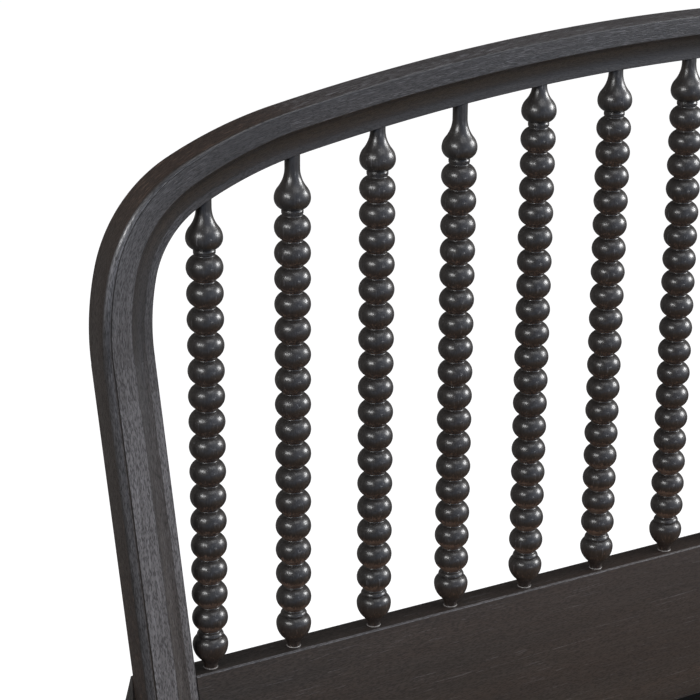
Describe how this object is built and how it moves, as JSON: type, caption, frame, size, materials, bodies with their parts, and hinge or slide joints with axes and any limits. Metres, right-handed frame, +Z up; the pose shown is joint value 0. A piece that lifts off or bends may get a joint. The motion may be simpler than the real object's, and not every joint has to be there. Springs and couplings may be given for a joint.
{
  "type": "platform bed",
  "caption": "Slatted platform bed with a headboard of spool-turned spindles set in a tapered, moulded wooden hoop over a plain panel.",
  "frame": {"origin": "on the floor, under the middle of the bed's overall box", "axes": "+Z up, +Y from the foot rail to the headboard, +X to the right of someone facing the headboard from the foot"},
  "size_m": [1.678, 2.175, 1.255],
  "materials": {
    "charcoal_wood": "satin charcoal stain over open pores",
    "slat_wood": "planed, unfinished",
    "steel": "plain",
    "dark_plastic": "matt"
  },
  "bodies": {
    "bed": {"headboard_crest": "charcoal_wood", "headboard_shoulder_left": "charcoal_wood", "headboard_shoulder_right": "charcoal_wood", "headboard_post_left": "charcoal_wood", "headboard_post_right": "charcoal_wood", "headboard_panel": "charcoal_wood", "headboard_leg_left": "charcoal_wood", "headboard_leg_right": "charcoal_wood", "head_rail": "charcoal_wood", "side_rail_left": "charcoal_wood", "side_rail_right": "charcoal_wood", "foot_rail": "charcoal_wood", "foot_leg_left": "charcoal_wood", "foot_leg_right": "charcoal_wood", "spindle_01": "charcoal_wood", "spindle_02": "charcoal_wood", "spindle_03": "charcoal_wood", "spindle_04": "charcoal_wood", "spindle_05": "charcoal_wood", "spindle_06": "charcoal_wood", "spindle_07": "charcoal_wood", "spindle_08": "charcoal_wood", "spindle_09": "charcoal_wood", "spindle_10": "charcoal_wood", "spindle_11": "charcoal_wood", "spindle_12": "charcoal_wood", "spindle_13": "charcoal_wood", "hoop_dowels": "slat_wood", "panel_dowels": "slat_wood", "side_ledger_left": "slat_wood", "side_ledger_right": "slat_wood", "centre_beam": "slat_wood", "centre_leg_1": "slat_wood", "centre_leg_2": "slat_wood", "centre_leg_3": "slat_wood", "slat_01": "slat_wood", "slat_02": "slat_wood", "slat_03": "slat_wood", "slat_04": "slat_wood", "slat_05": "slat_wood", "slat_06": "slat_wood", "slat_07": "slat_wood", "slat_08": "slat_wood", "slat_09": "slat_wood", "slat_10": "slat_wood", "slat_11": "slat_wood", "slat_12": "slat_wood", "slat_13": "slat_wood", "leg_screws": "steel", "corner_screws": "steel", "slat_screws": "steel", "bed_bolts": "steel", "barrel_nuts": "steel", "beam_hanger_head": "steel", "beam_hanger_foot": "steel", "leg_glides": "dark_plastic"},
    "leveller_1": {"leveller_1": "dark_plastic"},
    "leveller_2": {"leveller_2": "dark_plastic"},
    "leveller_3": {"leveller_3": "dark_plastic"}
  },
  "joints": [
    {"name": "leveller_slide_1", "type": "slide", "parent": "bed", "child": "leveller_1", "axis": [0, 0, -1], "range_m": [0, 0.015]},
    {"name": "leveller_slide_2", "type": "slide", "parent": "bed", "child": "leveller_2", "axis": [0, 0, -1], "range_m": [0, 0.015]},
    {"name": "leveller_slide_3", "type": "slide", "parent": "bed", "child": "leveller_3", "axis": [0, 0, -1], "range_m": [0, 0.015]}
  ]
}
